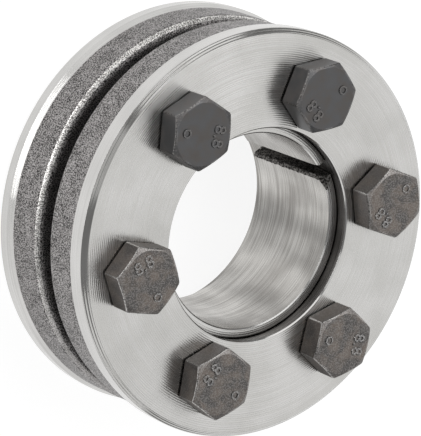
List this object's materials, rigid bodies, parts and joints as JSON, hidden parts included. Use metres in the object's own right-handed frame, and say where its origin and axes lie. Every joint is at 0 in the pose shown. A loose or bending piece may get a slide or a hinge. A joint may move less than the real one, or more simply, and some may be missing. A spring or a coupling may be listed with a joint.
{
  "type": "shrink disc",
  "caption": "Keyless shaft clamp: two bolted rings squeeze a slit double-cone inner ring onto a hollow shaft or hub.",
  "frame": {"origin": "centre of the bore in the plane of the rear ring's outer face, which the disc rests on", "axes": "+Z along the bore axis towards the bolt heads, +X through the axis of bolt_1"},
  "size_m": [0.05, 0.05, 0.0217],
  "materials": {
    "ring_steel": "turned faces and outer bands, darker forged skin beside the gap",
    "inner_ring_steel": "fine turned bore and cones, rough sawn slit",
    "bolt_steel": "black oxide with lightly worn edges"
  },
  "bodies": {
    "rear_ring": {"rear_clamping_ring": "ring_steel"},
    "front_ring": {"front_clamping_ring": "ring_steel"},
    "inner_ring": {"inner_ring": "inner_ring_steel"},
    "bolt_1": {"bolt_1": "bolt_steel"},
    "bolt_2": {"bolt_2": "bolt_steel"},
    "bolt_3": {"bolt_3": "bolt_steel"},
    "bolt_4": {"bolt_4": "bolt_steel"},
    "bolt_5": {"bolt_5": "bolt_steel"},
    "bolt_6": {"bolt_6": "bolt_steel"}
  },
  "joints": [
    {"name": "front_ring_slide", "type": "slide", "parent": "rear_ring", "child": "front_ring", "axis": [0, 0, 1], "range_m": [-0.001, 0.004]},
    {"name": "inner_ring_slide", "type": "slide", "parent": "rear_ring", "child": "inner_ring", "axis": [0, 0, 1], "range_m": [-0.0005, 0.002]},
    {"name": "bolt_1_turn", "type": "hinge", "parent": "front_ring", "child": "bolt_1", "pos_m": [0.018, 0, 0.0184], "axis": [0, 0, 1], "range_deg": [-450, 1800]},
    {"name": "bolt_2_turn", "type": "hinge", "parent": "front_ring", "child": "bolt_2", "pos_m": [0.009, 0.01559, 0.0184], "axis": [0, 0, 1], "range_deg": [-450, 1800]},
    {"name": "bolt_3_turn", "type": "hinge", "parent": "front_ring", "child": "bolt_3", "pos_m": [-0.009, 0.01559, 0.0184], "axis": [0, 0, 1], "range_deg": [-450, 1800]},
    {"name": "bolt_4_turn", "type": "hinge", "parent": "front_ring", "child": "bolt_4", "pos_m": [-0.018, 0, 0.0184], "axis": [0, 0, 1], "range_deg": [-450, 1800]},
    {"name": "bolt_5_turn", "type": "hinge", "parent": "front_ring", "child": "bolt_5", "pos_m": [-0.009, -0.01559, 0.0184], "axis": [0, 0, 1], "range_deg": [-450, 1800]},
    {"name": "bolt_6_turn", "type": "hinge", "parent": "front_ring", "child": "bolt_6", "pos_m": [0.009, -0.01559, 0.0184], "axis": [0, 0, 1], "range_deg": [-450, 1800]}
  ],
  "couplings": [
    {"joint": "inner_ring_slide", "follows": "front_ring_slide", "ratio": 0.5},
    {"joint": "bolt_1_turn", "follows": "front_ring_slide", "rad_per_m": 7853.9},
    {"joint": "bolt_2_turn", "follows": "front_ring_slide", "rad_per_m": 7853.9},
    {"joint": "bolt_3_turn", "follows": "front_ring_slide", "rad_per_m": 7853.9},
    {"joint": "bolt_4_turn", "follows": "front_ring_slide", "rad_per_m": 7853.9},
    {"joint": "bolt_5_turn", "follows": "front_ring_slide", "rad_per_m": 7853.9},
    {"joint": "bolt_6_turn", "follows": "front_ring_slide", "rad_per_m": 7853.9}
  ]
}
